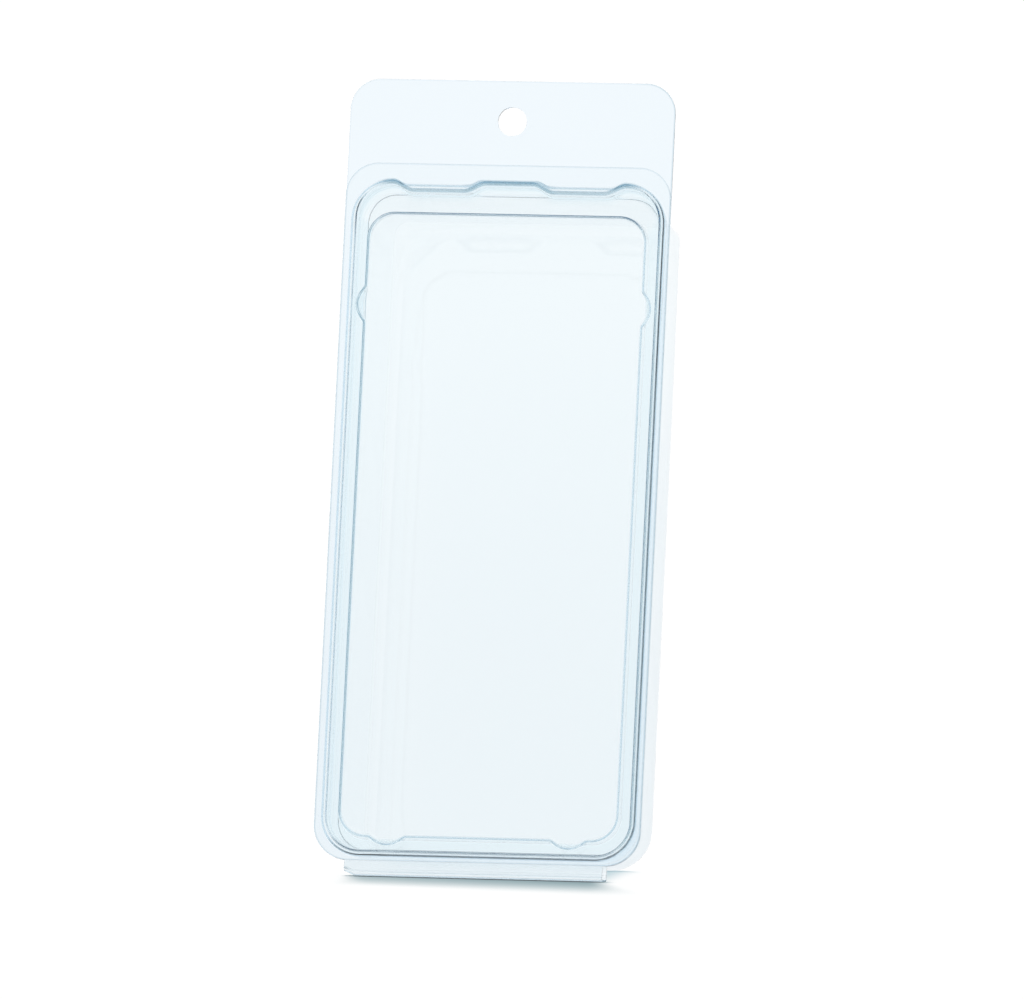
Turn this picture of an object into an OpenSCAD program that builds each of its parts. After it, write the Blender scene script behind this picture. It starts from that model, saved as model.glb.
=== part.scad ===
// Clear hanging pack: a deep tray with a header and a peg hole, and a flat lid
// that swings forward on a fold along the bottom edge.
// The pack stands on that fold and on the lower back edge of the tray, so it leans back.
// Lengths in millimetres: x to the right, y to the back, z up.

/* [Outline] */
// Width over the flanges
pack_w = 88.5; // [76:0.5:110]
// Height of the lid's top edge above the fold
lid_h = 196.3; // [178:0.1:230]
// Height of the header above the lid's top edge
header_h = 23.4; // [19:0.1:34]
// Radius of the two header corners
header_r = 7.2; // [4:0.1:10]
// Radius of the two top corners of the lid
lid_r = 8.3; // [5:0.1:10]
// Radius of the bottom corners of both flanges
foot_r = 9; // [6:0.1:10]

/* [Sheet] */
// Thickness of the formed sheet
sheet = 0.6; // [0.5:0.05:0.8]
// Gap between the closed flanges
seam_gap = 0.2; // [0.1:0.05:0.4]
// Gap between the lid's plug and the tray's mouth
plug_gap = 0.4; // [0.3:0.05:0.6]

/* [Tray] */
// Width of the flange beside the tray
flange_w = 1; // [0.8:0.1:3]
// Width of the flange below the tray
flange_foot_w = 1.4; // [1.2:0.1:3]
// Width of the flange between the mouth and the lid's top edge
flange_top_w = 3.9; // [3.5:0.1:7]
// Corner radius of the mouth
mouth_r = 11; // [10:0.1:13]
// Depth of the mouth down to its ledge
mouth_d = 10; // [8:0.5:14]
// Width of the ledge inside the mouth
ledge_w = 2.6; // [2.5:0.1:3.2]
// Full depth of the tray
tray_d = 52; // [46:1:64]
// How far the walls close in from the ledge to the back
draft = 0.7; // [0.3:0.1:1.2]
// How far the bottom wall rises further towards the back
foot_draft = 1.3; // [1:0.1:2.5]
// Radius of the edge round the back face
back_r = 3; // [2:0.1:3.5]
// Radius of the two top corners of the tray at its back
back_top_r = 4.5; // [4.2:0.1:7]

/* [Lid] */
// Depth of the plug that sits in the mouth
plug_d = 5; // [3.5:0.1:7]
// Width of the channel at the sides
channel_w = 3.7; // [3.2:0.1:4.5]
// Width of the channel at the bottom
channel_foot_w = 4.1; // [3.2:0.1:5]
// Width of the channel at the top
channel_top_w = 8.4; // [6.5:0.1:10]
// Corner radius of the front panel
panel_r = 7.5; // [6:0.1:9]

/* [Catches] */
// Depth of the two dents in the plug's top wall
plug_dent_d = 2; // [1.5:0.1:2.3]
// Depth of the two dents in the mouth's top wall
mouth_dent_d = 1.3; // [0.8:0.1:1.5]
// Distance from the middle to the inner end of a dent
dent_in = 6.8; // [6:0.1:11]
// Distance from the middle to the outer end of a dent
dent_out = 32; // [24:0.1:33]
// Length of a dent's ramp
dent_ramp = 4; // [2:0.1:4]
// Reach of the half-round swells into the channel
swell_d = 2.2; // [1:0.1:2.4]
// Length of a swell
swell_l = 9.6; // [7:0.1:11]
// Height of the side swells above the fold
swell_z = 157.4; // [120:0.1:160]
// Distance of the bottom swells from the middle
swell_x = 25; // [15:0.1:25.5]

/* [Hang hole] */
// Diameter of the peg hole
hole_d = 8; // [5:0.1:10]
// Distance of the hole's centre below the header's top
hole_drop = 11.2; // [9:0.1:15]

/* [Fold] */
// Width of the fold
fold_w = 72; // [40:0.5:72]
// Radius of the rolled edge
fold_r = 0.9; // [0.7:0.05:1.2]
// Height of both flanges above the floor side of the fold
fold_rise = 4.2; // [3:0.1:5]
// Gap between the rolled edge and the lid
fold_gap = 0.25; // [0.15:0.05:0.4]

/* [Hidden] */
corner_n = 8;
swell_n = 8;
half_w = pack_w / 2;
mouth_w = half_w - flange_w;
mouth_z0 = fold_rise + flange_foot_w;
mouth_z1 = lid_h - flange_top_w;
plug_in = sheet + plug_gap;
panel_w = mouth_w - plug_in - channel_w;
panel_z0 = mouth_z0 + plug_in + channel_foot_w;
panel_z1 = mouth_z1 - plug_in - channel_top_w;
dent_end = min(dent_out, mouth_w - mouth_r - 0.1);
back_in = ledge_w + draft;
back_foot = mouth_z0 + back_in + foot_draft;
edge_y = tray_d - back_r;
edge_z = back_foot + back_r - fold_r;
edge_l = sqrt(edge_y * edge_y + edge_z * edge_z);
lean = atan2(edge_z, edge_y) - asin((back_r - fold_r) / edge_l);
lid_front = -seam_gap / 2 - sheet;
hole_z = lid_h + header_h - hole_drop;
back_top = mouth_z1 - back_in - back_r - fold_r;
mid_y = (edge_y * cos(lean) + back_top * sin(lean) + back_r - fold_r) / 2;

// One quarter turn round a corner, both ends included
function bend(x, z, r, from) = [
    for (i = [0:corner_n])
    [x + r * cos(from + 90 * i / corner_n), z + r * sin(from + 90 * i / corner_n)]];

// Ramps of one dent of the depth d in the edge at the height z, from the right end to the left end
function dent(right, left, z, d) = [
    [right, z],
    [right - dent_ramp, z - d],
    [left + dent_ramp, z - d],
    [left, z]];

// Half-round swell of the reach d centred at (x, z), as it is passed going anticlockwise
function swell(x, z, d, l, from) = [
    for (i = [0:swell_n])
    [x + (cos(from) * d * sin(180 * i / swell_n)) + sin(from) * l / 2 * cos(180 * i / swell_n),
     z + (sin(from) * d * sin(180 * i / swell_n)) - cos(from) * l / 2 * cos(180 * i / swell_n)]];

// Rounded outline with half width w, from z0 to z1, corner radius low at the foot and top above
function outline(w, z0, z1, low, top) = concat(
    bend(w - top, z1 - top, top, 0),
    bend(top - w, z1 - top, top, 90),
    bend(low - w, z0 + low, low, 180),
    bend(w - low, z0 + low, low, 270));

// Outline of the mouth closed in by inset, with two dents of the depth d in its top edge
function mouth_line(inset, d) =
    let (w = mouth_w - inset, r = mouth_r - inset, z0 = mouth_z0 + inset, z1 = mouth_z1 - inset)
    concat(
        bend(w - r, z1 - r, r, 0),
        dent(dent_end, dent_in, z1, d),
        dent(-dent_in, -dent_end, z1, d),
        bend(r - w, z1 - r, r, 90),
        bend(r - w, z0 + r, r, 180),
        bend(w - r, z0 + r, r, 270));

// Outline of the front panel closed in by inset, with a swell in each side and two in the foot
function panel_line(inset) =
    let (w = panel_w - inset, r = panel_r - inset, z0 = panel_z0 + inset, z1 = panel_z1 - inset)
    let (l = swell_l - 2 * inset)
    concat(
        swell(w, swell_z, swell_d, l, 0),
        bend(w - r, z1 - r, r, 0),
        bend(r - w, z1 - r, r, 90),
        swell(-w, swell_z, swell_d, l, 180),
        bend(r - w, z0 + r, r, 180),
        swell(-swell_x, z0, swell_d, l, 270),
        swell(swell_x, z0, swell_d, l, 270),
        bend(w - r, z0 + r, r, 270));

// Outline of the tray behind its ledge, closed in by inset, at the depth y, with the top radius top
function deep_ring(inset, lift, y, top) = [
    for (p = outline(
        mouth_w - inset, mouth_z0 + inset + lift, mouth_z1 - inset, mouth_r - inset, top))
    [p[0], y, p[1]]];

// Solid through a row of outlines, from the front one to the back one
module loft(rings) {
    n = len(rings[0]);
    m = len(rings);
    sides = [for (i = [0:m - 2], k = [0:n - 1]) each [
        [i * n + k, i * n + (k + 1) % n, (i + 1) * n + k],
        [i * n + (k + 1) % n, (i + 1) * n + (k + 1) % n, (i + 1) * n + k]]];
    front = [[for (k = [n - 1:-1:0]) k]];
    back = [[for (k = [0:n - 1]) (m - 1) * n + k]];
    polyhedron(points = [for (r = rings) each r], faces = concat(sides, front, back), convexity = 4);
}

// Upright slab with the outline line, from the depth y0 to the depth y1
module slab(line, y0, y1) {
    translate([0, y1, 0])
    rotate([90, 0, 0])
    linear_extrude(y1 - y0)
    polygon(line);
}

// Tray's outer or inner body behind the flange: skin is 0 outside and the sheet inside
module tray_body(skin, y0) {
    r = back_r - skin;
    slab(mouth_line(skin, mouth_dent_d), y0, mouth_d + sheet - skin);
    loft(concat(
        [deep_ring(ledge_w + skin, 0, mouth_d - skin, mouth_r - ledge_w - skin)],
        [for (a = [0:22.5:90])
            deep_ring(back_in + skin + r * (1 - cos(a)), foot_draft, edge_y + r * sin(a),
                back_top_r - skin - r * (1 - cos(a)))]));
}

// Leans the pack back about the rolled edge until the tray's back edge is on the floor,
// and brings the middle of its depth to y = 0
module leaning() {
    translate([0, -mid_y, fold_r])
    rotate([-lean, 0, 0])
    translate([0, 0, -fold_r])
    children();
}

// Deep tray with flange, header, peg hole and rolled fold
module tray() {
    color([0.86, 0.94, 0.96, 0.35])
    leaning()
    difference() {
        union() {
            slab(outline(half_w, fold_rise, lid_h + header_h, foot_r, header_r),
                seam_gap / 2, seam_gap / 2 + sheet);
            tray_body(0, seam_gap / 2 + sheet / 2);
            translate([-fold_w / 2, seam_gap / 2, fold_r])
            cube([fold_w, sheet, fold_rise - fold_r + 1]);
            translate([-fold_w / 2, 0, fold_r])
            rotate([0, 90, 0])
            cylinder(r = fold_r, h = fold_w, $fn = 32);
        }
        tray_body(sheet, -1);
        translate([0, 5, hole_z])
        rotate([90, 0, 0])
        cylinder(d = hole_d, h = 10, $fn = 48);
    }
}

// Flat lid with a channel that plugs the tray's mouth
module lid() {
    color([0.88, 0.95, 0.97, 0.35])
    leaning()
    difference() {
        union() {
            slab(outline(half_w, fold_rise, lid_h, foot_r, lid_r), lid_front, lid_front + sheet);
            translate([-fold_w / 2, lid_front, 2 * fold_r + fold_gap])
            cube([fold_w, sheet, fold_rise - 2 * fold_r - fold_gap + 1]);
            slab(mouth_line(plug_in, plug_dent_d), lid_front + sheet / 2, plug_d);
        }
        difference() {
            slab(mouth_line(plug_in + sheet, plug_dent_d), lid_front - 1, plug_d - sheet);
            slab(panel_line(0), lid_front - 2, plug_d);
        }
        slab(panel_line(sheet), lid_front + sheet, plug_d + 1);
    }
}

tray();
lid();
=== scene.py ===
"""Clear hanging pack: a deep formed tray, its plug lid and the fold that joins them.

Each half is one formed sheet. Its middle surface is laid out in the upright pack frame, in
millimetres: x to the right, y to the back, z up from the floor side of the fold. The sheet then
gets its thickness and is leaned back into the row frame, in metres.
"""

import logging
import math
from dataclasses import astuple, dataclass, replace
from enum import Enum

import bpy
import numpy as np
from mathutils import Matrix, Vector


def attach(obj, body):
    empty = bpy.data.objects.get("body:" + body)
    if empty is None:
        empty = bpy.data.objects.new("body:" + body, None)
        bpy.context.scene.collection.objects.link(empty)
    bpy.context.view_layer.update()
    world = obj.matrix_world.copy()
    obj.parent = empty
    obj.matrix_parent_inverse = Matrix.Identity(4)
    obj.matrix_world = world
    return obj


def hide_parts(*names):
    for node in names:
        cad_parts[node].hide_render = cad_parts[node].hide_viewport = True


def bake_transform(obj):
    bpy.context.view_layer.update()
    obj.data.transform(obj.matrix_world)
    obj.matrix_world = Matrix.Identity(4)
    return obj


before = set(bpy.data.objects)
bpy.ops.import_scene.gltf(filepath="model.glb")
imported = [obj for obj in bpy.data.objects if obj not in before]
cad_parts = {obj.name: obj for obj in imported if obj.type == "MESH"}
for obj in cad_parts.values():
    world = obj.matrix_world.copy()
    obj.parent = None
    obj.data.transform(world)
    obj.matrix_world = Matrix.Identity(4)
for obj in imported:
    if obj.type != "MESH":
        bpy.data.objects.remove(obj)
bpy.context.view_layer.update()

LOG = logging.getLogger("clear_pack")
MM = 0.001
TINY = 1e-12
MERGE_PER_MM = 2000
IMAGE_WIDTH_PX = 1024
SENSOR_MM = 36.0
Rgb = tuple[float, float, float]
Span = tuple[float, float]
Wire = tuple[bpy.types.Node, str | int, bpy.types.Node, str | int]


class Half(Enum):
    """The two bodies of the pack, by the names they have in the record."""

    TRAY = "tray"
    LID = "lid"


@dataclass(frozen=True)
class PackSizes:
    """Sizes of the pack in millimetres.

    They follow the solids, apart from the cut edges, the corners and the dents, which have the
    finer shape of the formed sheet.
    """

    half_w: float = 44.85
    lid_h: float = 196.3
    top_h: float = 219.7
    header_r: float = 8.3
    lid_r: float = 8.9
    foot_r: float = 9.6
    sheet: float = 0.6
    seam: float = 0.2
    plug_gap: float = 0.4
    mouth_w: float = 43.25
    mouth_z0: float = 5.6
    mouth_z1: float = 192.4
    mouth_r: float = 11.0
    mouth_d: float = 10.0
    ledge_w: float = 2.6
    tray_d: float = 52.0
    draft: float = 0.7
    foot_draft: float = 1.3
    back_r: float = 3.0
    back_top_r: float = 4.5
    back_foot_r: float = 11.0
    plug_d: float = 5.0
    channel_w: float = 3.7
    channel_foot_w: float = 4.1
    channel_top_w: float = 8.4
    panel_r: float = 7.5
    mouth_drop: float = 0.4
    plug_dent_d: float = 2.3
    mouth_dent_d: float = 1.3
    plug_lift: float = -0.05
    plug_dent_in: float = 6.4
    plug_dent_out: float = 32.25
    plug_dent_ramp: float = 6.0
    edge_w: float = 0.5
    swell_d: float = 2.2
    swell_l: float = 9.6
    swell_z: float = 157.4
    swell_x: float = 25.0
    hole_r: float = 4.0
    hole_z: float = 208.5
    fold_half: float = 36.0
    fold_r: float = 0.9
    fold_rise: float = 4.2

    @property
    def lean(self) -> float:
        """Angle in radians by which the pack leans back on the floor."""
        foot = self.mouth_z0 + self.ledge_w + self.draft + self.foot_draft
        edge_y = self.tray_d - self.back_r
        edge_z = foot + self.back_r - self.fold_r
        length = math.hypot(edge_y, edge_z)
        return math.atan2(edge_z, edge_y) - math.asin((self.back_r - self.fold_r) / length)

    @property
    def mid_y(self) -> float:
        """Depth of the pack's middle behind the fold, once it leans."""
        edge_y = self.tray_d - self.back_r
        top = self.mouth_z1 - self.ledge_w - self.draft - self.back_r - self.fold_r
        turned = edge_y * math.cos(self.lean) + top * math.sin(self.lean)
        return (turned + self.back_r - self.fold_r) / 2

    def to_row(self, points: np.ndarray) -> np.ndarray:
        """Leans points back about the rolled edge.

        Args:
            points: places in the upright pack frame, in millimetres, last axis x, y, z.

        Returns:
            The same places in the row frame, in metres.
        """
        c, s = math.cos(self.lean), math.sin(self.lean)
        x, y, z = points[..., 0], points[..., 1], points[..., 2] - self.fold_r
        return MM * np.stack([x, y * c + z * s - self.mid_y, self.fold_r - y * s + z * c], -1)


@dataclass(frozen=True)
class Ring:
    """One rounded outline round the pack: half width, foot, top, corner radii and local forms."""

    w: float
    z0: float
    z1: float
    r_low: float
    r_top: float
    y: float
    dent: float = 0.0
    swell: float = 0.0
    dent_in: float = 7.6
    dent_out: float = 32.0
    dent_ramp: float = 3.6

    def closed_in(self, inset: float) -> "Ring":
        """The outline moved inwards by inset."""
        return replace(
            self, w=self.w - inset, z0=self.z0 + inset, z1=self.z1 - inset,
            r_low=self.r_low - inset, r_top=self.r_top - inset)

    def mixed(self, other: "Ring", t: float) -> "Ring":
        """The outline a share t of the way to another one."""
        return Ring(*(a * (1 - t) + b * t for a, b in zip(astuple(self), astuple(other))))


def ease(u: np.ndarray) -> np.ndarray:
    """Smooth step: three u squared less two u cubed, held at 0 and 1 outside."""
    u = np.clip(u, 0.0, 1.0)
    return u * u * (3 - 2 * u)


def rise(u: np.ndarray, start: np.ndarray | float, run: np.ndarray | float) -> np.ndarray:
    """Smooth step from 0 at the start to 1 a run later."""
    return ease((u - start) / run)


def fall(u: np.ndarray, end: float, run: float) -> np.ndarray:
    """Smooth step from 1 a run before the end to 0 at the end."""
    return ease((end - u) / run)


def shares(steps: int) -> np.ndarray:
    """Equal shares of a way up to 1, without its start."""
    return np.linspace(0, 1, steps + 1)[1:]


def arc(steps: int) -> np.ndarray:
    """Quarter turn in equal steps, in radians, without its start."""
    return np.linspace(0, math.pi / 2, steps + 1)[1:]


@dataclass(frozen=True)
class TopShadeLine:
    """Dark line of painted shade along a bend in the top edge, where the bend loses light: its
    strengths, and where it fades in millimetres.
    """

    full: float
    dented: float
    dent_from: float = 10.0
    dent_to: float = 31.0
    dent_fade: float = 4.0
    end: float = 38.0
    end_fade: float = 6.0
    below: float = 5.0
    below_fade: float = 1.0
    start: float = 0.005
    behind: float = 1.6
    behind_fade: float = 0.8

    def strength(self, grid: np.ndarray, front: float, top: float) -> np.ndarray:
        """How dark the painted shade line is.

        The line is full between the dents and at their outer ends, weaker along them, and it
        fades out round the corners, below the edge and behind the bend.

        Args:
            grid: rows by columns by x, y, z.
            front: depth at which the bend starts.
            top: height of the top edge.

        Returns:
            The strength at each point, 0 away from the bend.
        """
        x, y, z = np.abs(grid[..., 0]), grid[..., 1], grid[..., 2]
        low = rise(x, self.dent_from, self.dent_fade) * fall(x, self.dent_to, self.dent_fade)
        along = (self.full + (self.dented - self.full) * low) * fall(x, self.end, self.end_fade)
        near = rise(z, top - self.below, self.below_fade)
        near = near * fall(y, front + self.behind, self.behind_fade)
        return along * near * (y > front + self.start)


@dataclass(frozen=True)
class OutlineSampler:
    """Samples rings with the same number of points, so that rings join into grids."""

    sizes: PackSizes
    side_n: int = 15
    swell_n: int = 44
    swell_span: float = 0.62
    swell_ease: float = 0.015
    top_n: int = 110
    foot_n: int = 96
    corner_n: int = 14

    def side_shares(self) -> np.ndarray:
        """Shares along a side from foot to top, closer together across the swell."""
        s = self.sizes
        gap = s.sheet + s.plug_gap
        low = s.mouth_z0 + gap + s.channel_foot_w + s.panel_r
        span = s.mouth_z1 - gap - s.channel_top_w - s.panel_r - low
        a = (s.swell_z - self.swell_span * s.swell_l - low) / span
        b = (s.swell_z + self.swell_span * s.swell_l - low) / span
        return np.concatenate([
            np.linspace(0, a, self.side_n, endpoint=False),
            np.linspace(a, b, self.swell_n, endpoint=False),
            np.linspace(b, 1, self.side_n // 2),
        ])

    def dent_share(self, x: np.ndarray, ring: Ring) -> np.ndarray:
        """Share of the ring's dent along the top edge: two smooth ramps multiplied."""
        inner = rise(np.abs(x), ring.dent_in, ring.dent_ramp)
        return inner * fall(np.abs(x), ring.dent_out, ring.dent_ramp)

    def swell_share(self, t: np.ndarray) -> np.ndarray:
        """Share of a swell at the distance t from its middle: a round arc with eased ends."""
        v = 1 - (2 * t / self.sizes.swell_l) ** 2
        return 0.5 * (v + np.sqrt(v * v + self.swell_ease))

    def points(self, ring: Ring) -> np.ndarray:
        """Places round one ring, anticlockwise as seen from the front.

        Four straight edges and four quarter circles follow each other, each with a fixed
        number of points. The top edge drops by the dent, the sides and the foot go out by
        the swell.

        Args:
            ring: the outline to follow.

        Returns:
            An array of points by x, y, z in the upright pack frame.
        """
        s = self.sizes
        u = self.side_shares()
        z = (ring.z0 + ring.r_low) * (1 - u) + (ring.z1 - ring.r_top) * u
        x = ring.w + ring.swell * self.swell_share(z - s.swell_z)
        top_half = ring.w - ring.r_top
        tx = np.linspace(top_half, -top_half, self.top_n)
        tz = ring.z1 - ring.dent * self.dent_share(tx, ring)
        foot_half = ring.w - ring.r_low
        fx = np.linspace(-foot_half, foot_half, self.foot_n)
        fz = ring.z0 - ring.swell * self.swell_share(np.abs(fx) - s.swell_x)
        a = np.linspace(0, math.pi / 2, self.corner_n + 1)[1:-1]
        ct, st = ring.r_top * np.cos(a), ring.r_top * np.sin(a)
        cl, sl = ring.r_low * np.cos(a), ring.r_low * np.sin(a)
        top, low = ring.z1 - ring.r_top, ring.z0 + ring.r_low
        xs = [x, top_half + ct, tx, -top_half - st, -x[::-1], -foot_half - cl, fx, foot_half + sl]
        zs = [z, top + st, tz, top + ct, z[::-1], low - sl, fz, low - cl]
        flat = np.stack([np.concatenate(xs), np.concatenate(zs)], -1)
        return np.insert(flat, 1, ring.y, axis=1)

    def top_slice(self) -> slice:
        """Where the points of the top edge stand in a ring."""
        start = len(self.side_shares()) + self.corner_n - 1
        return slice(start, start + self.top_n)

    def filled(self, ring: Ring, steps: int, crown: float) -> np.ndarray:
        """Flat sheet inside a ring, drawn in towards an upright line in its middle.

        Each point moves straight to the nearest point of that line, and the sheet bows to the
        front by crown times one less the square of the share that is left.

        Args:
            ring: the outline round the sheet.
            steps: how many rows lie between the middle and the outline.
            crown: how far the middle bows to the front, in millimetres.

        Returns:
            A grid of rows, from the middle line to the row just inside the outline.
        """
        edge = self.points(ring)
        spine = edge.copy()
        spine[:, 0] = 0.0
        spine[:, 2] = np.clip(edge[:, 2], ring.z0 + ring.w, ring.z1 - ring.w)
        left = np.linspace(0, 1, steps + 1)[:-1, None, None]
        rows = spine * (1 - left) + edge * left
        rows[..., 1] -= crown * (1 - left[..., 0] ** 2)
        return rows


class Sheet:
    """Middle surface of a formed sheet, put together from grids that share their edges."""

    def __init__(self) -> None:
        """Starts with no surface."""
        self.points: list[np.ndarray] = []
        self.quads: list[np.ndarray] = []
        self.marks: list[np.ndarray] = []
        self.count = 0

    def add(self, grid: np.ndarray, closed: bool, keep: np.ndarray | None = None,
            tone: np.ndarray | float = 0.0, edge: np.ndarray | float = 0.0,
            thin: np.ndarray | float = 0.0) -> None:
        """Adds a grid of rows and columns.

        Args:
            grid: rows by columns by x, y, z. Rows go outwards, columns anticlockwise.
            closed: whether the last column joins the first.
            keep: a mask of the cells to keep, or None for all of them.
            tone: at each point, how far forming has drawn the sheet out, from 0 to 1.
            edge: at each point, how dark the painted shade on a bend or a cut edge is, from 0 to 1.
            thin: at each point, the share of the sheet's thickness that is lost.
        """
        rows, cols = grid.shape[:2]
        ids = self.count + np.arange(rows * cols).reshape(rows, cols)
        if closed:
            ids = np.concatenate([ids, ids[:, :1]], 1)
        cells = np.stack([ids[:-1, :-1], ids[1:, :-1], ids[1:, 1:], ids[:-1, 1:]], -1)
        self.quads.append(cells.reshape(-1, 4) if keep is None else cells[keep])
        self.points.append(grid.reshape(-1, 3))
        self.marks.append(np.stack(
            [np.broadcast_to(mark, (rows, cols)).ravel() for mark in (tone, edge, thin)]))
        self.count += rows * cols

    def joined(self) -> tuple[np.ndarray, np.ndarray, np.ndarray]:
        """Merges points in one place and splits the quads into sound triangles.

        Returns:
            The points, the triangles as rows of three point numbers, and three rows of marks:
            each point's tone, painted edge shade and lost thickness.
        """
        points = np.concatenate(self.points)
        quads = np.concatenate(self.quads)
        spots = np.round(points * MERGE_PER_MM).astype(np.int64)
        _, first, where = np.unique(spots, axis=0, return_index=True, return_inverse=True)
        points, quads = points[first], where.reshape(-1)[quads]
        tris = np.concatenate([quads[:, [0, 1, 2]], quads[:, [0, 2, 3]]])
        a, b, c = tris.T
        sound = (a != b) & (b != c) & (c != a)
        return points, tris[sound], np.concatenate(self.marks, 1)[:, first]

    def solid(self, name: str, sizes: PackSizes) -> bpy.types.Object:
        """Gives the surface its thickness, half to each side along its point normals.

        Args:
            name: of the piece.
            sizes: of the pack, for the thickness and the lean.

        Returns:
            The piece's object in the row frame, with its cut edges sharp.
        """
        points, tris, (tone, edge, thin) = self.joined()
        n = len(points)
        p = points[tris]
        face = np.cross(p[:, 1] - p[:, 0], p[:, 2] - p[:, 0])
        face /= np.maximum(np.linalg.norm(face, axis=1, keepdims=True), TINY)
        sides = p - np.roll(p, 1, axis=1)
        sides /= np.maximum(np.linalg.norm(sides, axis=2, keepdims=True), TINY)
        corner = np.arccos(np.clip(-np.sum(sides * np.roll(sides, -1, axis=1), 2), -1, 1))
        normal = np.zeros_like(points)
        for k in range(3):
            np.add.at(normal, tris[:, k], face * corner[:, k:k + 1])
        normal /= np.maximum(np.linalg.norm(normal, axis=1, keepdims=True), TINY)
        edges = np.concatenate([tris[:, [0, 1]], tris[:, [1, 2]], tris[:, [2, 0]]])
        key = np.sort(edges, 1) @ np.array([n, 1])
        _, where, times = np.unique(key, return_inverse=True, return_counts=True)
        rim = edges[times[where.reshape(-1)] == 1]
        a, b = rim[:, 0], rim[:, 1]
        walls = np.concatenate([np.stack([b, a, a + n], -1), np.stack([b, a + n, b + n], -1)])
        half = normal * (1 - thin[:, None]) * sizes.sheet / 2
        both = np.concatenate([points + half, points - half])
        faces = np.concatenate([tris, tris[:, ::-1] + n, walls])
        made = mesh_object(name, sizes.to_row(both), faces, np.concatenate([rim, rim + n]))
        # the edge attribute carries the painted shade along bends and cut edges
        for mark, values in (("tone", tone), ("edge", edge)):
            layer = made.data.attributes.new(mark, "FLOAT", "POINT")
            layer.data.foreach_set("value", np.tile(values, 2).astype(np.float32))
        return made


def mesh_object(
        name: str, points: np.ndarray, faces: np.ndarray, sharp: np.ndarray) -> bpy.types.Object:
    """Makes a smooth-shaded object at the origin from points in metres.

    Args:
        name: of the piece.
        points: rows of x, y, z.
        faces: rows of three point numbers.
        sharp: pairs of points whose edge stays sharp.

    Returns:
        The object, linked to the scene.
    """
    mesh = bpy.data.meshes.new(name)
    mesh.vertices.add(len(points))
    mesh.vertices.foreach_set("co", points.astype(np.float32).ravel())
    mesh.loops.add(faces.size)
    mesh.loops.foreach_set("vertex_index", faces.astype(np.int32).ravel())
    mesh.polygons.add(len(faces))
    mesh.polygons.foreach_set("loop_start", np.arange(0, faces.size, 3, dtype=np.int32))
    mesh.update(calc_edges=True)
    mesh.polygons.foreach_set("use_smooth", np.ones(len(faces), bool))
    ends = np.zeros(len(mesh.edges) * 2, np.int32)
    mesh.edges.foreach_get("vertices", ends)
    weights = np.array([len(points), 1], np.int64)
    mine = np.sort(ends.reshape(-1, 2), 1).astype(np.int64) @ weights
    theirs = np.sort(sharp, 1).astype(np.int64) @ weights
    mesh.edges.foreach_set("use_edge_sharp", np.isin(mine, theirs))
    mesh.validate()
    made = bpy.data.objects.new(name, mesh)
    bpy.context.scene.collection.objects.link(made)
    return made


def add_node(
        tree: bpy.types.NodeTree, kind: str, values: dict | None = None,
        **settings: object) -> bpy.types.Node:
    """Adds a shader node.

    Args:
        tree: the nodes to add it to.
        kind: the node's type, without the ShaderNode in front.
        values: constants for its inputs, by name or number.
        settings: the node's own choices, such as its operation.

    Returns:
        The new node.
    """
    made = tree.nodes.new("ShaderNode" + kind)
    for name, value in settings.items():
        setattr(made, name, value)
    for socket, value in (values or {}).items():
        made.inputs[socket].default_value = value
    return made


def join(tree: bpy.types.NodeTree, *wires: Wire) -> None:
    """Links nodes, each wire from an output of one node to an input of another."""
    for source, output, target, entry in wires:
        tree.links.new(source.outputs[output], target.inputs[entry])


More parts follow.
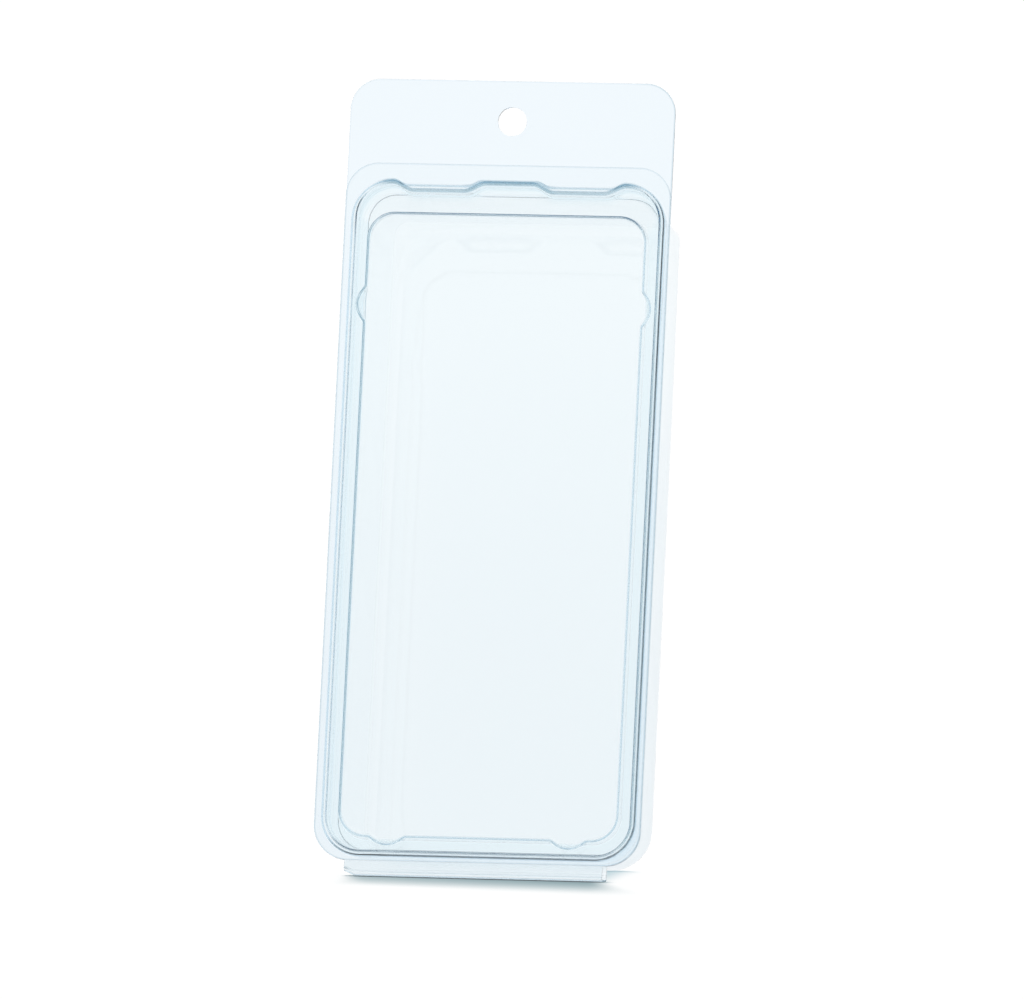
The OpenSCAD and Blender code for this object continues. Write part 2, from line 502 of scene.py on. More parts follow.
@dataclass(frozen=True)
class ClearSheetFinish:
    """Clear glossy sheet: a faint tint at each face and a colder one through its thickness.

    The flat parts of the sheet have the first tint, and the parts that forming has drawn out
    have the second one and a slight haze. The shadow is tinted, and it clears away from the
    floor, as it does under a broad light. Lengths are in metres.
    """

    name: str
    flat_tint: Rgb
    drawn_tint: Rgb
    ior: float = 1.5
    depth_colour: Rgb = (0.30, 0.60, 0.76)
    depth_density: float = 50.0
    shadow_near: Rgb = (0.42, 0.54, 0.57)
    shadow_far: Rgb = (0.997, 0.998, 0.998)
    shadow_reach: float = 0.155
    shadow_left: Span = (-0.029, -0.038)
    shadow_right: Span = (0.030, 0.038)
    shadow_slope: float = 0.3
    slope_half: float = 0.036
    # colour of the painted shade along bends and cut edges
    line_shade_tint: Rgb = (0.45, 0.60, 0.68)
    gloss_flat: float = 0.02
    gloss_drawn: float = 0.05
    ripple: float = 0.04
    ripple_height: float = 0.0004

    def material(self, marks: bpy.types.NodeTree) -> bpy.types.Material:
        """Builds the material.

        Args:
            marks: the shared node group of forming marks and painted shade lines.

        Returns:
            The material, with the sheet's shader kept in the material itself.
        """
        made = bpy.data.materials.new(self.name)
        made.use_nodes = True
        tree = made.node_tree
        tree.nodes.clear()
        sheet = add_node(tree, "BsdfPrincipled", {
            "IOR": self.ior, "Metallic": 0.0, "Transmission Weight": 1.0})
        place = add_node(tree, "TexCoord")
        tone = add_node(tree, "Attribute", attribute_name="tone")
        # the edge attribute says where painted shade darkens bends and cut edges
        edge = add_node(tree, "Attribute", attribute_name="edge")
        group = add_node(tree, "Group", {
            "Flat Tint": (*self.flat_tint, 1), "Drawn Tint": (*self.drawn_tint, 1),
            "Edge Tint": (*self.line_shade_tint, 1), "Flat Gloss": self.gloss_flat,
            "Drawn Gloss": self.gloss_drawn}, node_tree=marks)
        bump = add_node(tree, "Bump", {"Strength": self.ripple, "Distance": self.ripple_height})
        out = add_node(tree, "OutputMaterial")
        floor_light = self.add_shadow(tree, sheet, out)
        depth = add_node(tree, "VolumeAbsorption", {"Color": (*self.depth_colour, 1)})
        density = add_node(tree, "MapRange", {"To Min": self.depth_density, "To Max": 0.0})
        join(
            tree,
            (place, "Object", group, "Place"),
            (tone, "Fac", group, "Tone"),
            (edge, "Fac", group, "Edge"),
            (group, "Tint", sheet, "Base Color"),
            (group, "Gloss", sheet, "Roughness"),
            (group, "Ripple", bump, "Height"),
            (bump, "Normal", sheet, "Normal"),
            (floor_light, 0, density, "Value"),
            (density, "Result", depth, "Density"),
            (depth, 0, out, "Volume"))
        return made

    def add_shadow(
            self, tree: bpy.types.NodeTree, sheet: bpy.types.Node,
            out: bpy.types.Node) -> bpy.types.Node:
        """Lets light for the floor pass the sheet, tinted more the nearer the floor is.

        The tint thins out at both sides, where a broad light also comes in beside the pack, and
        it gets weaker from the right to the left.

        Args:
            tree: the material's nodes.
            sheet: the shader that the eye sees.
            out: the material's output.

        Returns:
            The node that gives 1 for light on its way to the floor and 0 for what the eye sees.
        """
        path = add_node(tree, "LightPath")
        soft = add_node(tree, "Math", operation="MAXIMUM")
        near = add_node(
            tree, "MapRange", {"From Max": self.shadow_reach}, interpolation_type="SMOOTHSTEP")
        place = add_node(tree, "TexCoord")
        axes = add_node(tree, "SeparateXYZ")
        beside = add_node(tree, "Math", operation="MAXIMUM")
        for k, (full, gone) in enumerate((self.shadow_left, self.shadow_right)):
            side = add_node(
                tree, "MapRange", {"From Min": full, "From Max": gone},
                interpolation_type="SMOOTHSTEP")
            join(tree, (axes, "X", side, "Value"), (side, "Result", beside, k))
        slope = add_node(tree, "MapRange", {
            "From Min": self.slope_half, "From Max": -self.slope_half,
            "To Max": self.shadow_slope})
        weaker = add_node(tree, "Math", operation="ADD", use_clamp=True)
        clear = add_node(tree, "Math", operation="MAXIMUM")
        tint = add_node(
            tree, "Mix", {6: (*self.shadow_near, 1), 7: (*self.shadow_far, 1)}, data_type="RGBA")
        through = add_node(tree, "BsdfTransparent")
        mix = add_node(tree, "MixShader")
        join(
            tree,
            (path, "Is Shadow Ray", soft, 0),
            (path, "Is Diffuse Ray", soft, 1),
            (path, "Ray Length", near, "Value"),
            (place, "Object", axes, 0),
            (axes, "X", slope, "Value"),
            (near, "Result", weaker, 0),
            (slope, "Result", weaker, 1),
            (weaker, 0, clear, 0),
            (beside, 0, clear, 1),
            (clear, 0, tint, 0),
            (tint, 2, through, "Color"),
            (soft, 0, mix, 0),
            (sheet, 0, mix, 1),
            (through, 0, mix, 2),
            (mix, 0, out, "Surface"))
        return soft


def forming_marks_and_shade_lines() -> bpy.types.NodeTree:
    """Node group for what forming leaves on the sheet, cloudy tint and gloss and a fine ripple, and
    for painted shade lines along bends and cut edges.

    The tint and the gloss go from the flat value to the drawn one with the tone, and a cloud
    of broad noise shifts both a little. Along bends and cut edges the tint is multiplied by the
    edge tint, a painted shade that darkens these lines where the sheet loses light. The ripple
    is finer noise.

    Returns:
        The group, with the outputs Tint, Gloss and Ripple.
    """
    tree = bpy.data.node_groups.new("forming_marks_and_shade_lines", "ShaderNodeTree")
    for side, kind, names in (
            ("INPUT", "Vector", ("Place",)),
            ("INPUT", "Float", ("Tone", "Edge", "Flat Gloss", "Drawn Gloss")),
            ("INPUT", "Color", ("Flat Tint", "Drawn Tint", "Edge Tint")),
            ("OUTPUT", "Color", ("Tint",)),
            ("OUTPUT", "Float", ("Gloss", "Ripple"))):
        for name in names:
            tree.interface.new_socket(name, in_out=side, socket_type="NodeSocket" + kind)
    given = tree.nodes.new("NodeGroupInput")
    result = tree.nodes.new("NodeGroupOutput")
    cloud = add_node(tree, "TexNoise", {"Scale": 22.0, "Detail": 3.0})
    ripple = add_node(tree, "TexNoise", {"Scale": 95.0, "Detail": 1.5})
    shift = add_node(tree, "MapRange", {"To Min": -0.06, "To Max": 0.06})
    share = add_node(tree, "Math", operation="ADD", use_clamp=True)
    tint = add_node(tree, "Mix", data_type="RGBA")
    # painted shade: the edge tint darkens the tint along bends and cut edges
    line = add_node(tree, "Mix", data_type="RGBA", blend_type="MULTIPLY")
    gloss = add_node(tree, "MapRange")
    join(
        tree,
        (given, "Place", cloud, "Vector"),
        (given, "Place", ripple, "Vector"),
        (cloud, "Fac", shift, "Value"),
        (given, "Tone", share, 0),
        (shift, "Result", share, 1),
        (share, 0, tint, 0),
        (given, "Flat Tint", tint, 6),
        (given, "Drawn Tint", tint, 7),
        (share, 0, gloss, "Value"),
        (given, "Flat Gloss", gloss, "To Min"),
        (given, "Drawn Gloss", gloss, "To Max"),
        (given, "Edge", line, 0),
        (tint, 2, line, 6),
        (given, "Edge Tint", line, 7),
        (line, 2, result, "Tint"),
        (gloss, "Result", result, "Gloss"),
        (ripple, "Fac", result, "Ripple"))
    return tree


@dataclass
class TraySheet:
    """Deep tray with its flange, header and peg hole.

    Each pair says where a change along the sheet starts and how long it takes, in millimetres:
    upwards, to the left, to the back or, for the painted shade on the cut edge, to the right.
    """

    sizes: PackSizes
    sampler: OutlineSampler
    bend: float = 0.6
    ledge_bend: float = 1.2
    wall_draft: float = 0.15
    crown: float = 0.25
    thinning: float = 0.55
    thin_up: Span = (120.0, 60.0)
    thin_left: Span = (20.0, 15.0)
    thin_back: Span = (2.0, 8.0)
    tone_back: Span = (0.6, 14.0)
    # painted shade line along the mouth's top bend
    line: TopShadeLine = TopShadeLine(0.55, 0.05)
    # painted shade on the flange's cut edge, darker towards the right, the shaded side
    cut_shade_left: float = 0.15
    cut_shade_right: float = 0.65
    cut_shade_change: Span = (30.0, 12.0)
    fill_rows: int = 8
    back_rows: int = 14
    deep_rows: int = 8
    ledge_rows: int = 9
    wall_rows: int = 5
    bend_rows: int = 11
    flange_rows: int = 16
    hole_margin: float = 2.2
    hole_rows: int = 6
    hole_ease: float = 1.4

    def ring(self, inset: float, y: float) -> Ring:
        """Outline of the tray's wall, closed in by inset, at the depth y."""
        s = self.sizes
        deep = s.mouth_d + s.sheet / 2
        share = min(max((y - deep) / (s.tray_d - s.back_r - deep), 0.0), 1.0)
        back_in = s.ledge_w + s.draft
        r = s.mouth_r - inset
        top_r = r + share * (s.back_top_r + back_in - s.mouth_r)
        low_r = r + share * (s.back_foot_r + back_in - s.mouth_r)
        foot = s.mouth_z0 + inset + s.foot_draft * share
        mouth = self.mouth_share(inset)
        top = s.mouth_z1 - inset - s.mouth_drop * mouth
        return Ring(s.mouth_w - inset, foot, top, low_r, top_r, y, s.mouth_dent_d * mouth)

    def profile(self) -> list[tuple[float, float]]:
        """Section of the tray's wall.

        A quarter circle leads from the back face to the wall, two smaller ones make the ledge,
        and one more leads to the flange.

        Returns:
            Pairs of inset and depth, from the back face to the flange.
        """
        s = self.sizes
        half = s.sheet / 2
        deep_in = s.ledge_w + half
        back_in = deep_in + s.draft
        edge_y = s.tray_d - s.back_r
        r = s.back_r - half
        b, e = self.ledge_bend, self.bend
        ledge_y = s.mouth_d + half
        flange_y = s.seam / 2 + half
        wall_in = half + self.wall_draft
        pairs = [(back_in + r * (1 - math.sin(a)), edge_y + r * math.cos(a))
                 for a in arc(self.back_rows)]
        pairs += [(back_in + (deep_in - back_in) * t, edge_y + (ledge_y + b - edge_y) * t)
                  for t in shares(self.deep_rows)]
        pairs += [(deep_in - b * (1 - math.cos(a)), ledge_y + b * (1 - math.sin(a)))
                  for a in arc(self.ledge_rows)]
        pairs += [(wall_in + b * (1 - math.sin(a)), ledge_y - b * (1 - math.cos(a)))
                  for a in arc(self.ledge_rows)]
        pairs += [(wall_in + (half - wall_in) * t, ledge_y - b + (flange_y + e - ledge_y + b) * t)
                  for t in shares(self.wall_rows)]
        pairs += [(half - e * (1 - math.cos(a)), flange_y + e * (1 - math.sin(a)))
                  for a in arc(self.bend_rows)]
        return pairs

    def mouth_share(self, inset: float) -> float:
        """Share of the mouth's top forms: all at the mouth, none where the ledge ends."""
        s = self.sizes
        outer = s.sheet / 2 + self.wall_draft
        inner = s.ledge_w + s.sheet / 2
        return min(max((inner - inset) / (inner - outer), 0.0), 1.0)

    def build(self) -> bpy.types.Object:
        """Builds the sheet: back face, walls and ledge, flange and header, and the peg hole.

        Returns:
            The tray's object.
        """
        s, take = self.sizes, self.sampler.points
        rings = [self.ring(i, y) for i, y in self.profile()]
        back = self.ring(s.ledge_w + s.draft + s.back_r, s.tray_d - s.sheet / 2)
        sheet = Sheet()
        wall = np.stack([take(back)] + [take(r) for r in rings])
        deep = np.concatenate([self.sampler.filled(back, self.fill_rows, -self.crown), wall])
        x, y, z = np.moveaxis(deep, -1, 0)
        most = np.maximum(rise(z, *self.thin_up), rise(-x, *self.thin_left))
        thin = self.thinning * (rise(y, *self.thin_back) * most)
        # painted shade line along the mouth's top bend
        line = self.line.strength(deep, rings[-1].y, s.mouth_z1)
        sheet.add(deep, True, None, rise(y, *self.tone_back), line, thin)
        outer = Ring(s.half_w, s.fold_rise, s.top_h, s.foot_r, s.header_r, rings[-1].y)
        inner = outer.closed_in(s.edge_w)
        between = [rings[-1].mixed(inner, t) for t in shares(self.flange_rows)]
        flange = np.stack([take(r) for r in (rings[-1], *between, outer)])
        # painted shade along the flange's cut edge, darker towards the right
        cut = np.zeros(flange.shape[:2])
        right = rise(flange[-1, :, 0], *self.cut_shade_change)
        cut[-1] = self.cut_shade_left + (self.cut_shade_right - self.cut_shade_left) * right
        keep, loop = self.window(flange)
        sheet.add(flange, True, keep, edge=cut)
        sheet.add(self.hole_rim(loop), True)
        return sheet.solid("tray_sheet", s)

    def window(self, flange: np.ndarray) -> tuple[np.ndarray, np.ndarray]:
        """Finds the cells of the header round the peg hole.

        Args:
            flange: the grid of the flange and header.

        Returns:
            A mask of the cells to keep, and the loop of points round the cells left out,
            clockwise as seen from the front.
        """
        s = self.sizes
        reach = s.hole_r + self.hole_margin
        cols = np.arange(flange.shape[1])[self.sampler.top_slice()]
        mid = cols[len(cols) // 2]
        inside = cols[np.abs(flange[len(flange) // 2, cols, 0]) < reach]
        rows = np.flatnonzero(np.abs(flange[:, mid, 2] - s.hole_z) < reach)
        c0, c1, r0, r1 = inside[0], inside[-1], rows[0], rows[-1]
        keep = np.ones((flange.shape[0] - 1, flange.shape[1]), bool)
        keep[r0:r1, c0:c1] = False
        loop = np.concatenate([
            flange[r0, c0:c1], flange[r0:r1, c1], flange[r1, c1:c0:-1], flange[r1:r0:-1, c0]])
        return keep, loop

    def hole_rim(self, loop: np.ndarray) -> np.ndarray:
        """Grid between a loop of points and the round hole inside it.

        Each point of the loop moves straight towards the hole's centre until it is on the
        circle.

        Args:
            loop: the points round the hole's cells.

        Returns:
            Rows from the hole's edge to the loop.
        """
        s = self.sizes
        from_hole = loop - np.array([0.0, loop[0, 1], s.hole_z])
        length = np.linalg.norm(from_hole, axis=1, keepdims=True)
        circle = loop - from_hole * (1 - s.hole_r / length)
        t = np.linspace(0, 1, self.hole_rows + 1)[:, None, None] ** self.hole_ease
        grid = circle * (1 - t) + loop * t
        area = np.sum(loop[:, 0] * np.roll(loop[:, 2], -1) - loop[:, 2] * np.roll(loop[:, 0], -1))
        return grid if area > 0 else grid[:, ::-1]


@dataclass
class LidSheet:
    """Flat lid: front panel, the channel that plugs the tray's mouth, and the flange.

    Each pair says where a change along the sheet starts and how long it takes: thin_top and
    tone_high in millimetres below the mouth's top, thin_back in millimetres behind the face,
    the others in shares of the way from the panel's middle to the edge.
    """

    sizes: PackSizes
    sampler: OutlineSampler
    bend: float = 0.8
    floor_bend: float = 0.75
    wall_draft: float = 0.3
    floor_swell: float = 0.15
    crown: float = 0.15
    thinning: float = 0.25
    thin_top: Span = (6.0, 2.0)
    thin_back: Span = (0.3, 1.0)
    panel_tone: float = 0.27
    tone_side: Span = (0.36, 0.06)
    tone_top: Span = (0.50, 0.025)
    tone_high: Span = (16.0, 6.0)
    tone_end: Span = (0.66, 0.06)
    # painted shade line along the top bend, and painted shade on the cut edge
    line: TopShadeLine = TopShadeLine(1.0, 0.75)
    cut: float = 0.4
    fill_rows: int = 8
    bend_rows: int = 11
    wall_rows: int = 4
    floor_rows: int = 9
    channel_rows: int = 3
    flange_rows: int = 8

    def panel_ring(self, grow: float, y: float, swell: float) -> Ring:
        """Outline of the front panel let out by grow, at the depth y."""
        s = self.sizes
        gap = s.sheet + s.plug_gap
        r = s.panel_r + grow
        return Ring(
            s.mouth_w - gap - s.channel_w + grow, s.mouth_z0 + gap + s.channel_foot_w - grow,
            s.mouth_z1 - gap - s.channel_top_w + grow, r, r, y, 0.0, swell)

    def plug_ring(self, inset: float, y: float) -> Ring:
        """Outline of the plug's outer wall, closed in by inset from the mouth, at the depth y."""
        s = self.sizes
        r = s.mouth_r - inset
        return Ring(
            s.mouth_w - inset, s.mouth_z0 + inset, s.mouth_z1 - inset + s.plug_lift, r, r, y,
            s.plug_dent_d + s.plug_lift, 0.0, s.plug_dent_in, s.plug_dent_out, s.plug_dent_ramp)

    def rings(self) -> list[Ring]:
        """Section of the lid.

        A quarter circle leads from the panel into the inner wall, two make the channel's floor
        and one leads from the outer wall to the flange.

        Returns:
            Rings from the panel to the flange's edge.
        """
        s = self.sizes
        half = s.sheet / 2
        face = -s.seam / 2 - half
        floor = s.plug_d - half
        b, f, d = self.bend, self.floor_bend, self.wall_draft
        wall_in = s.sheet + s.plug_gap + half
        low_swell = s.swell_d * self.floor_swell
        made = [
            self.panel_ring(-half - b * (1 - math.sin(a)), face + b * (1 - math.cos(a)), s.swell_d)
            for a in arc(self.bend_rows)]
        made += [
            self.panel_ring(
                -half + d * t, face + b + (floor - f - face - b) * t,
                s.swell_d + (low_swell - s.swell_d) * t)
            for t in shares(self.wall_rows)]
        made += [
            self.panel_ring(
                -half + d + f * (1 - math.cos(a)), floor - f * (1 - math.sin(a)), low_swell)
            for a in arc(self.floor_rows)]
        ends = [
            self.plug_ring(wall_in + d + f * (1 - math.sin(a)), floor - f * (1 - math.cos(a)))
            for a in (0.0, *arc(self.floor_rows))]
        made += [made[-1].mixed(ends[0], t) for t in shares(self.channel_rows)[:-1]] + ends
        made += [
            self.plug_ring(wall_in + d * (1 - t), floor - f + (face + b - floor + f) * t)
            for t in shares(self.wall_rows)]
        made += [
            self.plug_ring(wall_in - b * (1 - math.cos(a)), face + b * (1 - math.sin(a)))
            for a in arc(self.bend_rows)]
        outer = Ring(s.half_w, s.fold_rise, s.lid_h, s.foot_r, s.lid_r, face)
        inner = outer.closed_in(s.edge_w)
        made += [made[-1].mixed(inner, t) for t in shares(self.flange_rows)]
        return made + [outer]

    def tones(self, grid: np.ndarray) -> np.ndarray:
        """How far forming has drawn the lid out.

        Outwards from the panel the tone goes up where the channel starts, later along the top,
        and it is gone on the flange.

        Args:
            grid: rows from the panel's middle to the edge, by columns by x, y, z.

        Returns:
            The tone at each point, from 0 to 1.
        """
        way = np.linspace(0, 1, len(grid))[:, None]
        below, run = self.tone_high
        high = rise(grid[..., 2], self.sizes.mouth_z1 - below, run)
        start, length = (a + (b - a) * high for a, b in zip(self.tone_side, self.tone_top))
        tone = self.panel_tone + (1 - self.panel_tone) * rise(way, start, length)
        return tone * (1 - rise(way, *self.tone_end))

    def build(self) -> bpy.types.Object:
        """Builds the sheet from the middle of the panel out to the flange's edge.

        Returns:
            The lid's object.
        """
        s = self.sizes
        face = -s.seam / 2 - s.sheet / 2
        inner = self.panel_ring(-s.sheet / 2 - self.bend, face, s.swell_d)
        rows = np.stack([self.sampler.points(r) for r in [inner] + self.rings()])
        grid = np.concatenate([self.sampler.filled(inner, self.fill_rows, self.crown), rows])
        # painted shade along the top bend and on the cut edge
        edge = self.line.strength(grid, face, s.mouth_z1)
        edge[-1] = self.cut
        below, run = self.thin_top
        high = rise(grid[..., 2], s.mouth_z1 - below, run)
        thin = self.thinning * (high * rise(grid[..., 1] - face, *self.thin_back))
        sheet = Sheet()
        sheet.add(grid, True, None, self.tones(grid), edge, thin)
        return sheet.solid("lid_sheet", s)


@dataclass
class FoldStrip:
    """Bent strip below the flanges: two legs and the rolled edge that the pack stands on."""

    sizes: PackSizes
    clear: float = 0.02
    end_lift: float = 0.3
    end_run: float = 3.2
    end_slant: float = 1.1
    columns: int = 64
    leg_rows: int = 8
    turn_rows: int = 22

    def section(self) -> np.ndarray:
        """Keyhole section: a leg down from the lid, most of a circle, and a leg up to the tray.

        Returns:
            Rows of y and z.
        """
        s = self.sizes
        r = s.fold_r - s.sheet / 2
        leg = s.seam / 2 + s.sheet / 2
        a0 = math.asin(leg / r)
        a = np.linspace(a0, 2 * math.pi - a0, self.turn_rows)
        turn = np.stack([-r * np.sin(a), s.fold_r + r * np.cos(a)], -1)
        z = np.linspace(s.fold_rise - self.clear, turn[0, 1], self.leg_rows + 1)[:-1]
        down = np.stack([np.full_like(z, -leg), z], -1)
        up = down[::-1] * np.array([-1, 1])
        return np.concatenate([down, turn, up])

    def build(self) -> bpy.types.Object:
        """Carries the section along x and gives it the sheet's thickness.

        The roll is lifted at the left end, and the right end is cut on a slant that shows the
        roll.

        Returns:
            The strip's object.
        """
        s = self.sizes
        section = self.section()
        x = s.fold_half * np.sin(np.linspace(-math.pi / 2, math.pi / 2, self.columns))
        grid = np.zeros((len(section), self.columns, 3))
        grid[..., 0] = x
        grid[..., 1] = section[:, :1]
        grid[..., 2] = section[:, 1:]
        lift = 1 - self.end_lift * (1 - rise(x, -s.fold_half, self.end_run))
        grid[..., 2] = s.fold_rise - (s.fold_rise - grid[..., 2]) * lift
        front = 0.5 - 0.5 * np.clip(section[:, :1] / section[-1, 0], -1, 1)
        grid[..., 0] -= self.end_slant * front * rise(x, s.fold_half - self.end_run, self.end_run)
        sheet = Sheet()
        sheet.add(grid, False)
        return sheet.solid("fold_strip", s)

    def bend_points(self) -> tuple[Vector, Vector]:
        """Row-frame points on the tray's leg and the lid's leg, between which the strip bends."""
        s = self.sizes
        leg = s.seam / 2 + s.sheet / 2
        ends = s.to_row(np.array([[0.0, leg, s.fold_r], [0.0, -leg, s.fold_r]]))
        return Vector(ends[0]), Vector(ends[1])


def matt_paint(name: str, colour: Rgb) -> tuple[bpy.types.Material, bpy.types.Node]:
    """Material for a part of the studio.

    Args:
        name: of the material.
        colour: of its rough surface without gloss.

    Returns:
        The material and its shader.
    """
    paint = bpy.data.materials.new(name)
    paint.use_nodes = True
    shader = paint.node_tree.nodes["Principled BSDF"]
    shader.inputs["Base Color"].default_value = (*colour, 1)
    shader.inputs["Roughness"].default_value = 1.0
    shader.inputs["Specular IOR Level"].default_value = 0.0
    return paint, shader


def plate(name: str, corners: list[list[float]], paint: bpy.types.Material) -> bpy.types.Object:
    """Flat plate with four corners in metres, anticlockwise as seen from its face."""
    faces = np.array([[0, 1, 2], [0, 2, 3]])
    made = mesh_object(name, np.array(corners), faces, np.zeros((0, 2), int))
    made.data.materials.append(paint)
    return made


@dataclass
class Studio:
    """Pale floor, white surroundings, a soft lamp and the camera at the photo's angle."""

    azimuth: float = 9.62
    elevation: float = 2.45
    roll: float = 0.868
    distance: float = 6.0
    view_depth: float = 1000.0
    focal_px: float = 22005.7
    target: tuple[float, float, float] = (0.0012, 0.0, 0.10108)
    floor_size: float = 400.0
    floor_colour: Rgb = (0.95, 0.95, 0.95)
    # painted shade: the floor seen in gloss and through the sheet is dimmer near the pack
    near_shade_tone: Rgb = (0.95, 0.955, 0.962)
    near_reach: float = 0.1
    far_reach: float = 4.5
    card_away: float = 0.4
    card_above: float = 0.6
    card_half: float = 0.45
    left_tone: Rgb = (0.34, 0.48, 0.54)
    above_tone: Rgb = (0.14, 0.20, 0.28)
    world_other: float = 0.16
    key_from: tuple[float, float, float] = (-0.12, 0.75, 1.0)
    key_level: float = 3.65
    key_spread: float = 9.0
    bounces: int = 72

    def floor(self) -> None:
        """Builds the white floor plane.

        In the gloss and through the sheet it is plain white too, with painted shade that makes it
        a little dimmer near the pack, where the pack shades the floor.
        """
        h = self.floor_size / 2
        paint, shader = matt_paint("floor_white", self.floor_colour)
        tree = paint.node_tree
        path = add_node(tree, "LightPath")
        behind = add_node(tree, "Math", operation="MAXIMUM")
        place = add_node(tree, "TexCoord")
        reach = add_node(tree, "VectorMath", operation="LENGTH")
        away = add_node(
            tree, "MapRange", {"From Min": self.near_reach, "From Max": self.far_reach},
            interpolation_type="SMOOTHSTEP")
        # painted shade: darker near the pack, plain white further away
        tone = add_node(
            tree, "Mix", {6: (*self.near_shade_tone, 1), 7: (1, 1, 1, 1)}, data_type="RGBA")
        white = add_node(tree, "Emission")
        mix = add_node(tree, "MixShader")
        join(
            tree,
            (place, "Object", reach, 0),
            (reach, "Value", away, "Value"),
            (away, "Result", tone, 0),
            (tone, 2, white, "Color"),
            (path, "Is Glossy Ray", behind, 0),
            (path, "Is Transmission Ray", behind, 1),
            (behind, 0, mix, 0),
            (shader, 0, mix, 1),
            (white, 0, mix, 2),
            (mix, 0, tree.nodes["Material Output"], "Surface"))
        made = plate("floor", [[-h, -h, 0], [h, -h, 0], [h, h, 0], [-h, h, 0]], paint)

    def cards(self) -> None:
        """Puts dark cards on the left and above, out of view, that give the bends their lines.

        Only light that the sheet has reflected meets them, so they don't show through the pack.
        """
        h, x, z = self.card_half, -self.card_away, self.card_above
        left = [[x, -h, 0], [x, -h, h], [x, h, h], [x, h, 0]]
        above = [[-h, -h, z], [-h, h, z], [h, h, z], [h, -h, z]]
        for name, corners, tone in (
                ("card_left", left, self.left_tone), ("card_above", above, self.above_tone)):
            paint, shader = matt_paint(name, (0, 0, 0))
            shader.inputs["Emission Color"].default_value = (*tone, 1)
            shader.inputs["Emission Strength"].default_value = 1.0
            tree = paint.node_tree
            path = add_node(tree, "LightPath")
            turned = add_node(tree, "Math", {1: 0.5}, operation="GREATER_THAN")
            through = add_node(tree, "BsdfTransparent")
            mix = add_node(tree, "MixShader")
            join(
                tree,
                (path, "Glossy Depth", turned, 0),
                (turned, 0, mix, 0),
                (through, 0, mix, 1),
                (shader, 0, mix, 2),
                (mix, 0, tree.nodes["Material Output"], "Surface"))
            made = plate(name, corners, paint)
            made.visible_camera = made.visible_diffuse = made.visible_shadow = False

    def world(self) -> None:
        """White for what the camera sees directly, in gloss and through the sheet."""
        world = bpy.data.worlds.new("studio_white")
        bpy.context.scene.world = world
        world.use_nodes = True
        tree = world.node_tree
        shade = tree.nodes["Background"]
        shade.inputs["Color"].default_value = (1, 1, 1, 1)
        path = add_node(tree, "LightPath")
        seen = add_node(tree, "Math", operation="MAXIMUM")
        seen_all = add_node(tree, "Math", operation="MAXIMUM")
        level = add_node(tree, "MapRange", {"To Min": self.world_other, "To Max": 1.0})
        join(
            tree,
            (path, "Is Camera Ray", seen, 0),
            (path, "Is Glossy Ray", seen, 1),
            (seen, 0, seen_all, 0),
            (path, "Is Transmission Ray", seen_all, 1),
            (seen_all, 0, level, "Value"),
            (level, "Result", shade, "Strength"))

    def light(self) -> None:
        """Hangs one soft lamp behind and above the pack that lights the whole floor evenly."""
        data = bpy.data.lights.new("key_soft", "SUN")
        data.energy = self.key_level
        data.angle = math.radians(self.key_spread)
        lamp = bpy.data.objects.new("key_soft", data)
        lamp.location = self.key_from
        lamp.visible_glossy = False
        lamp.visible_transmission = False
        lamp.rotation_euler = (-Vector(self.key_from)).to_track_quat("-Z", "Y").to_euler()
        bpy.context.scene.collection.objects.link(lamp)

    def camera(self) -> None:
        """Places the camera by azimuth, elevation, distance and roll about its own axis."""
        a, e = math.radians(self.azimuth), math.radians(self.elevation)
        back = Vector((math.sin(a) * math.cos(e), -math.cos(a) * math.cos(e), math.sin(e)))
        data = bpy.data.cameras.new("photo_camera")
        data.sensor_width = SENSOR_MM
        data.sensor_fit = "HORIZONTAL"
        data.lens = self.focal_px * SENSOR_MM / IMAGE_WIDTH_PX
        data.clip_end = self.view_depth
        made = bpy.data.objects.new("photo_camera", data)
        turn = (-back).to_track_quat("-Z", "Y").to_matrix()
        made.matrix_world = Matrix.Translation(Vector(self.target) + back * self.distance) @ (
            turn @ Matrix.Rotation(math.radians(self.roll), 3, "Z")).to_4x4()
        bpy.context.scene.collection.objects.link(made)
        bpy.context.scene.camera = made

    def build(self) -> None:
        """Sets the view transform and the light's bounces, and builds all of the studio."""
        scene = bpy.context.scene
        scene.view_settings.view_transform = "Standard"
        scene.cycles.max_bounces = self.bounces
        scene.cycles.glossy_bounces = self.bounces
        scene.cycles.transmission_bounces = self.bounces
        scene.cycles.transparent_max_bounces = self.bounces
        self.floor()
        self.cards()
        self.world()
        self.light()
        self.camera()


TRAY_FINISH = ClearSheetFinish(
    "tray_clear", (0.90, 0.96, 1.0), (0.943, 0.982, 1.0), shadow_near=(0.72, 0.81, 0.84),
    shadow_reach=0.024, shadow_left=(-0.024, -0.038), shadow_right=(0.028, 0.038), gloss_drawn=0.04)
LID_FINISH = ClearSheetFinish("lid_clear", (0.995, 1.0, 1.0), (0.900, 0.965, 0.985))
FOLD_FINISH = ClearSheetFinish(
    "fold_clear", (0.95, 0.985, 1.0), (0.95, 0.985, 1.0), shadow_left=(-0.030, -0.0385),
    shadow_right=(0.032, 0.0385), gloss_flat=0.14, gloss_drawn=0.16, ripple=0.1)


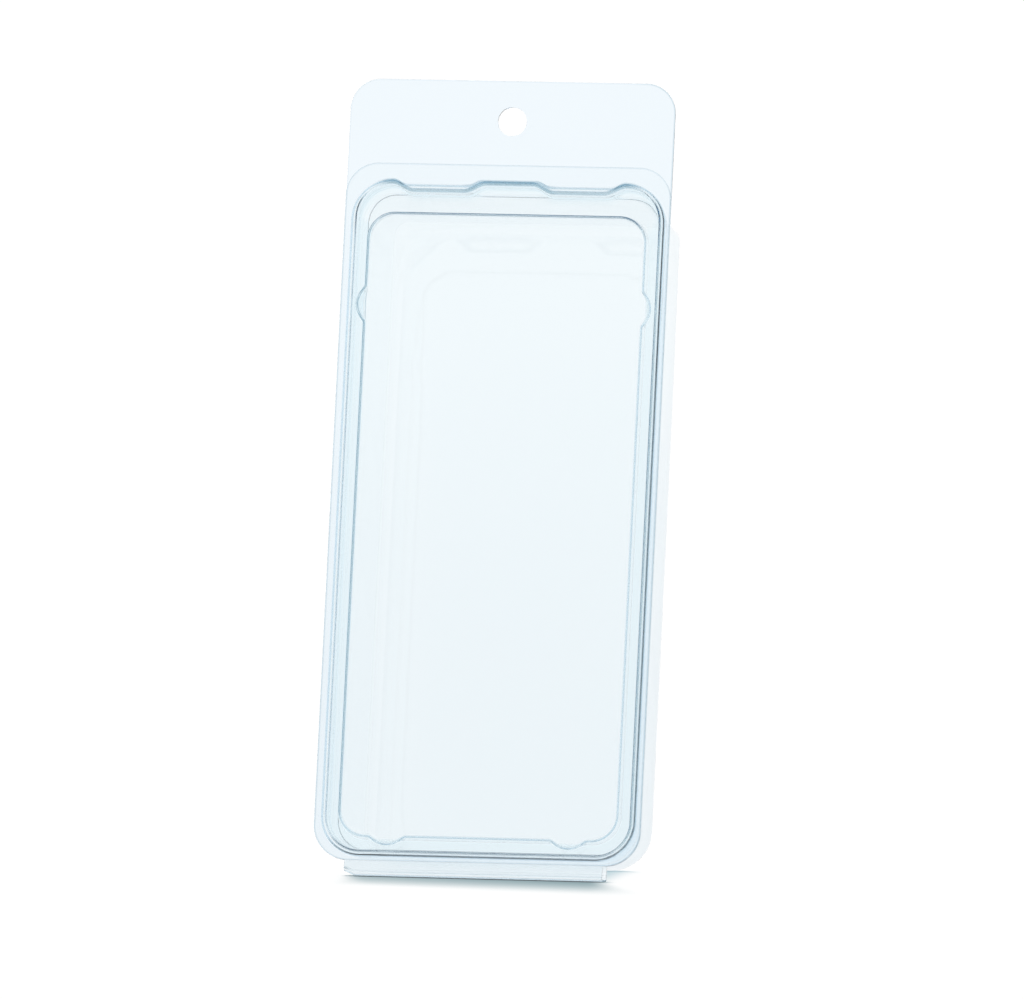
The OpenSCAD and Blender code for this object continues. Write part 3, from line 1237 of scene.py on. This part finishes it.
def main() -> None:
    """Builds the studio and the three pieces of the pack, and reports each piece."""
    logging.basicConfig(level=logging.INFO)
    sizes = PackSizes()
    sampler = OutlineSampler(sizes)
    marks = forming_marks_and_shade_lines()
    clear_tray, clear_lid = TRAY_FINISH.material(marks), LID_FINISH.material(marks)
    clear_fold = FOLD_FINISH.material(marks)
    Studio().build()
    tray = TraySheet(sizes, sampler).build()
    tray.data.materials.append(clear_tray)
    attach(tray, Half.TRAY.value)
    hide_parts(Half.TRAY.value)
    lid = LidSheet(sizes, sampler).build()
    lid.data.materials.append(clear_lid)
    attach(lid, Half.LID.value)
    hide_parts(Half.LID.value)
    strip = FoldStrip(sizes)
    fold = strip.build()
    fold.data.materials.append(clear_fold)
    start, end = strip.bend_points()
    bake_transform(fold)
    for piece in (tray, lid, fold):
        mesh = piece.data
        LOG.info("%s: %d points, %d triangles", piece.name, len(mesh.vertices), len(mesh.polygons))


if __name__ == "__main__":
    main()
